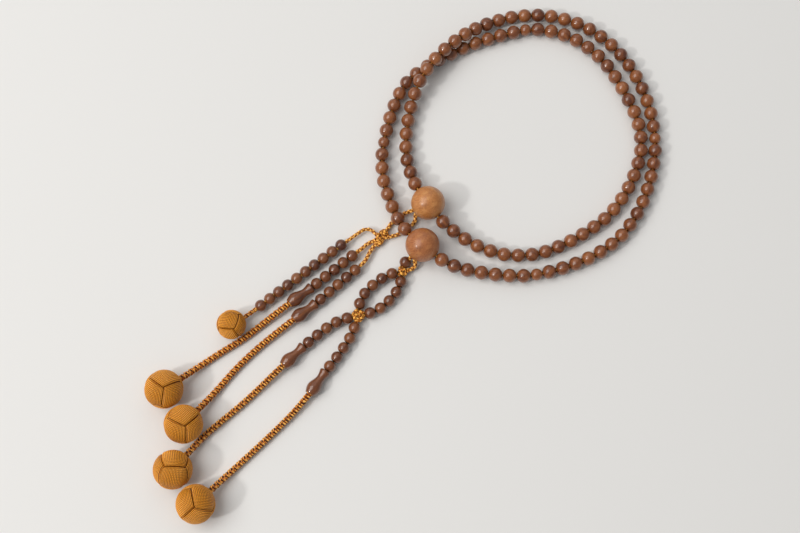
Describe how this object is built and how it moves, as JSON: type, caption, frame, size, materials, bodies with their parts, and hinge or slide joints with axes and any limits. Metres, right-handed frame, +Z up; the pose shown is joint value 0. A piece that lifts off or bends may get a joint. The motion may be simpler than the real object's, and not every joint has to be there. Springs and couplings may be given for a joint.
{
  "type": "prayer bead strand",
  "caption": "Prayer bead strand laid flat as a double loop, with parent beads, marker beads, counting strand and braided tassels that end in woven balls.",
  "frame": {"origin": "on the table under the middle of the whole layout's box", "axes": "+Z up from the table, +Y from the ball tassels' side towards the far side of the double loop, +X to the right of the loop as seen from the tassels"},
  "size_m": [0.296, 0.3028, 0.0214],
  "materials": {
    "bead_wood": "polished, semi-gloss",
    "marker_wood": "polished, semi-gloss",
    "strand_wood": "polished, semi-gloss",
    "drop_wood": "polished, semi-gloss",
    "parent_wood": "smooth satin, fine grain",
    "parent_wood_pale": "smooth satin, fine grain",
    "loop_cord": "twisted silky cord",
    "braid": "four-strand silky braid",
    "knot_braid": "tied silky braid",
    "tassel_braid": "eight-strand silky square braid",
    "ball_thread": "wound silky thread",
    "ball_core": "plain turned wood, hidden"
  },
  "bodies": {
    "loop": {"loop_cord": "loop_cord", "upper_parent_bead": "parent_wood_pale", "lower_parent_bead": "parent_wood", "main_beads_outer_first": "bead_wood", "main_beads_outer_second": "bead_wood", "main_beads_outer_third": "bead_wood", "main_beads_inner_first": "bead_wood", "main_beads_inner_second": "bead_wood", "main_beads_inner_third": "bead_wood", "bridle_cords": "braid", "fan_knot": "knot_braid", "entry_cords": "braid", "entry_knot": "knot_braid"},
    "marker_bead_bottom": {"marker_bead_bottom": "marker_wood"},
    "marker_bead_right": {"marker_bead_right": "marker_wood"},
    "marker_bead_left": {"marker_bead_left": "marker_wood"},
    "marker_bead_top": {"marker_bead_top": "marker_wood"},
    "guard_bead": {"guard_bead": "strand_wood"},
    "counting_strand": {"counting_cord": "braid"},
    "counting_bead_01": {"counting_bead_01": "strand_wood"},
    "counting_bead_02": {"counting_bead_02": "strand_wood"},
    "counting_bead_03": {"counting_bead_03": "strand_wood"},
    "counting_bead_04": {"counting_bead_04": "strand_wood"},
    "counting_bead_05": {"counting_bead_05": "strand_wood"},
    "counting_bead_06": {"counting_bead_06": "strand_wood"},
    "counting_bead_07": {"counting_bead_07": "strand_wood"},
    "counting_bead_08": {"counting_bead_08": "strand_wood"},
    "counting_bead_09": {"counting_bead_09": "strand_wood"},
    "counting_bead_10": {"counting_bead_10": "strand_wood"},
    "small_ball": {"small_ball_core": "ball_core", "small_ball_cover": "ball_thread"},
    "fan_strand_upper": {"fan_strand_upper_cord": "braid", "fan_strand_upper_beads": "strand_wood", "fan_strand_upper_drop": "drop_wood", "fan_strand_upper_tassel_cord": "tassel_braid"},
    "fan_strand_lower": {"fan_strand_lower_cord": "braid", "fan_strand_lower_beads": "strand_wood", "fan_strand_lower_drop": "drop_wood"},
    "pair_strand_upper": {"pair_strand_upper_cord": "braid", "pair_strand_upper_beads": "strand_wood", "pair_strand_upper_drop": "drop_wood", "pair_strand_upper_tassel_cord": "tassel_braid"},
    "pair_strand_lower": {"pair_strand_lower_cord": "braid", "pair_strand_lower_beads": "strand_wood", "pair_strand_lower_drop": "drop_wood"},
    "pair_ring": {"ring_cords": "braid", "ring_beads_left": "strand_wood", "ring_beads_right": "strand_wood", "cross_knot": "knot_braid"},
    "fan_strand_lower_tassel": {"fan_strand_lower_tassel_cord": "tassel_braid"},
    "pair_strand_lower_tassel": {"pair_strand_lower_tassel_cord": "tassel_braid"},
    "fan_strand_upper_ball": {"fan_strand_upper_ball_core": "ball_core", "fan_strand_upper_ball_cover": "ball_thread"},
    "fan_strand_lower_ball": {"fan_strand_lower_ball_core": "ball_core", "fan_strand_lower_ball_cover": "ball_thread"},
    "pair_strand_upper_ball": {"pair_strand_upper_ball_core": "ball_core", "pair_strand_upper_ball_cover": "ball_thread"},
    "pair_strand_lower_ball": {"pair_strand_lower_ball_core": "ball_core", "pair_strand_lower_ball_cover": "ball_thread"}
  },
  "joints": [
    {"name": "marker_spin_bottom", "type": "hinge", "parent": "loop", "child": "marker_bead_bottom", "pos_m": [0.0712, -0.01218, 0.0041], "axis": [0.9849, 0.1731, 0], "continuous": true},
    {"name": "marker_spin_right", "type": "hinge", "parent": "loop", "child": "marker_bead_right", "pos_m": [0.14413, 0.07032, 0.0041], "axis": [-0.0208, 0.9998, 0], "continuous": true},
    {"name": "marker_spin_left", "type": "hinge", "parent": "loop", "child": "marker_bead_left", "pos_m": [-0.01621, 0.06619, 0.0041], "axis": [0.1747, 0.9846, 0], "continuous": true},
    {"name": "marker_spin_top", "type": "hinge", "parent": "loop", "child": "marker_bead_top", "pos_m": [0.0689, 0.13766, 0.0041], "axis": [0.9881, 0.1539, 0], "continuous": true},
    {"name": "guard_spin", "type": "hinge", "parent": "loop", "child": "guard_bead", "pos_m": [-0.0041, -0.0052, 0.0034], "axis": [-0.7524, -0.5411, -0.3756], "continuous": true},
    {"name": "counting_swing", "type": "hinge", "parent": "loop", "child": "counting_strand", "pos_m": [-0.019, 0.0088, 0.0025], "axis": [0, 0, -1], "range_deg": [0, 30]},
    {"name": "count_slide_01", "type": "slide", "parent": "counting_strand", "child": "counting_bead_01", "axis": [0.7869, 0.617, 0], "range_m": [0, 0.009]},
    {"name": "count_slide_02", "type": "slide", "parent": "counting_strand", "child": "counting_bead_02", "axis": [0.7869, 0.617, 0], "range_m": [0, 0.0081]},
    {"name": "count_slide_03", "type": "slide", "parent": "counting_strand", "child": "counting_bead_03", "axis": [0.7869, 0.617, 0], "range_m": [0, 0.0072]},
    {"name": "count_slide_04", "type": "slide", "parent": "counting_strand", "child": "counting_bead_04", "axis": [0.7869, 0.617, 0], "range_m": [0, 0.0063]},
    {"name": "count_slide_05", "type": "slide", "parent": "counting_strand", "child": "counting_bead_05", "axis": [0.7869, 0.617, 0], "range_m": [0, 0.0054]},
    {"name": "count_slide_06", "type": "slide", "parent": "counting_strand", "child": "counting_bead_06", "axis": [0.7869, 0.617, 0], "range_m": [0, 0.0045]},
    {"name": "count_slide_07", "type": "slide", "parent": "counting_strand", "child": "counting_bead_07", "axis": [0.7869, 0.617, 0], "range_m": [0, 0.0036]},
    {"name": "count_slide_08", "type": "slide", "parent": "counting_strand", "child": "counting_bead_08", "axis": [0.7869, 0.617, 0], "range_m": [0, 0.0027]},
    {"name": "count_slide_09", "type": "slide", "parent": "counting_strand", "child": "counting_bead_09", "axis": [0.7869, 0.617, 0], "range_m": [0, 0.0018]},
    {"name": "count_slide_10", "type": "slide", "parent": "counting_strand", "child": "counting_bead_10", "axis": [0.7869, 0.617, 0], "range_m": [0, 0.0009]},
    {"name": "small_ball_pitch", "type": "hinge", "parent": "counting_strand", "child": "small_ball", "pos_m": [-0.09513, -0.0375, 0.00347], "axis": [-0.592, 0.8059, 0], "range_deg": [0, 40]},
    {"name": "fan_upper_swing", "type": "hinge", "parent": "loop", "child": "fan_strand_upper", "pos_m": [-0.019, 0.0088, 0.0025], "axis": [0, 0, -1], "range_deg": [0, 18]},
    {"name": "fan_lower_swing", "type": "hinge", "parent": "loop", "child": "fan_strand_lower", "pos_m": [-0.019, 0.0088, 0.0025], "axis": [0, 0, -1], "range_deg": [0, 7.5]},
    {"name": "pair_swing", "type": "hinge", "parent": "loop", "child": "pair_ring", "pos_m": [-0.0058, -0.0107, 0.0033], "axis": [0, 0, 1], "range_deg": [0, 30]},
    {"name": "pair_lower_swing", "type": "hinge", "parent": "pair_ring", "child": "pair_strand_lower", "pos_m": [-0.031, -0.0362, 0.0033], "axis": [0, 0, 1], "range_deg": [0, 25]},
    {"name": "pair_upper_swing", "type": "hinge", "parent": "pair_ring", "child": "pair_strand_upper", "pos_m": [-0.031, -0.0362, 0.0033], "axis": [0, 0, 1], "range_deg": [0, 10]},
    {"name": "fan_strand_lower_lift", "type": "hinge", "parent": "fan_strand_lower", "child": "fan_strand_lower_tassel", "pos_m": [-0.0674, -0.0389, 0.00423], "axis": [-0.6018, 0.7986, 0], "range_deg": [0, 30]},
    {"name": "pair_strand_lower_lift", "type": "hinge", "parent": "pair_strand_lower", "child": "pair_strand_lower_tassel", "pos_m": [-0.05805, -0.08073, 0.00423], "axis": [-0.8192, 0.5736, 0], "range_deg": [0, 30]},
    {"name": "fan_strand_upper_ball_pitch", "type": "hinge", "parent": "fan_strand_upper", "child": "fan_strand_upper_ball", "pos_m": [-0.12839, -0.07201, 0.0066], "axis": [-0.6018, 0.7986, 0], "range_deg": [0, 60]},
    {"name": "fan_strand_lower_ball_pitch", "type": "hinge", "parent": "fan_strand_lower_tassel", "child": "fan_strand_lower_ball", "pos_m": [-0.1188, -0.08939, 0.0066], "axis": [-0.7547, 0.6561, 0], "range_deg": [0, 60]},
    {"name": "pair_strand_upper_ball_pitch", "type": "hinge", "parent": "pair_strand_upper", "child": "pair_strand_upper_ball", "pos_m": [-0.124, -0.11364, 0.0066], "axis": [-0.7771, 0.6293, 0], "range_deg": [0, 40]},
    {"name": "pair_strand_lower_ball_pitch", "type": "hinge", "parent": "pair_strand_lower_tassel", "child": "pair_strand_lower_ball", "pos_m": [-0.11026, -0.1328, 0.0066], "axis": [-0.7009, 0.7132, 0], "range_deg": [0, 60]}
  ],
  "couplings": [
    {"joint": "count_slide_02", "follows": "count_slide_01", "ratio": 0.9},
    {"joint": "count_slide_03", "follows": "count_slide_01", "ratio": 0.8},
    {"joint": "count_slide_04", "follows": "count_slide_01", "ratio": 0.7},
    {"joint": "count_slide_05", "follows": "count_slide_01", "ratio": 0.6},
    {"joint": "count_slide_06", "follows": "count_slide_01", "ratio": 0.5},
    {"joint": "count_slide_07", "follows": "count_slide_01", "ratio": 0.4},
    {"joint": "count_slide_08", "follows": "count_slide_01", "ratio": 0.3},
    {"joint": "count_slide_09", "follows": "count_slide_01", "ratio": 0.2},
    {"joint": "count_slide_10", "follows": "count_slide_01", "ratio": 0.1},
    {"joint": "fan_upper_swing", "follows": "counting_swing", "ratio": 0.6},
    {"joint": "fan_lower_swing", "follows": "counting_swing", "ratio": 0.25},
    {"joint": "pair_upper_swing", "follows": "pair_lower_swing", "ratio": 0.4}
  ]
}
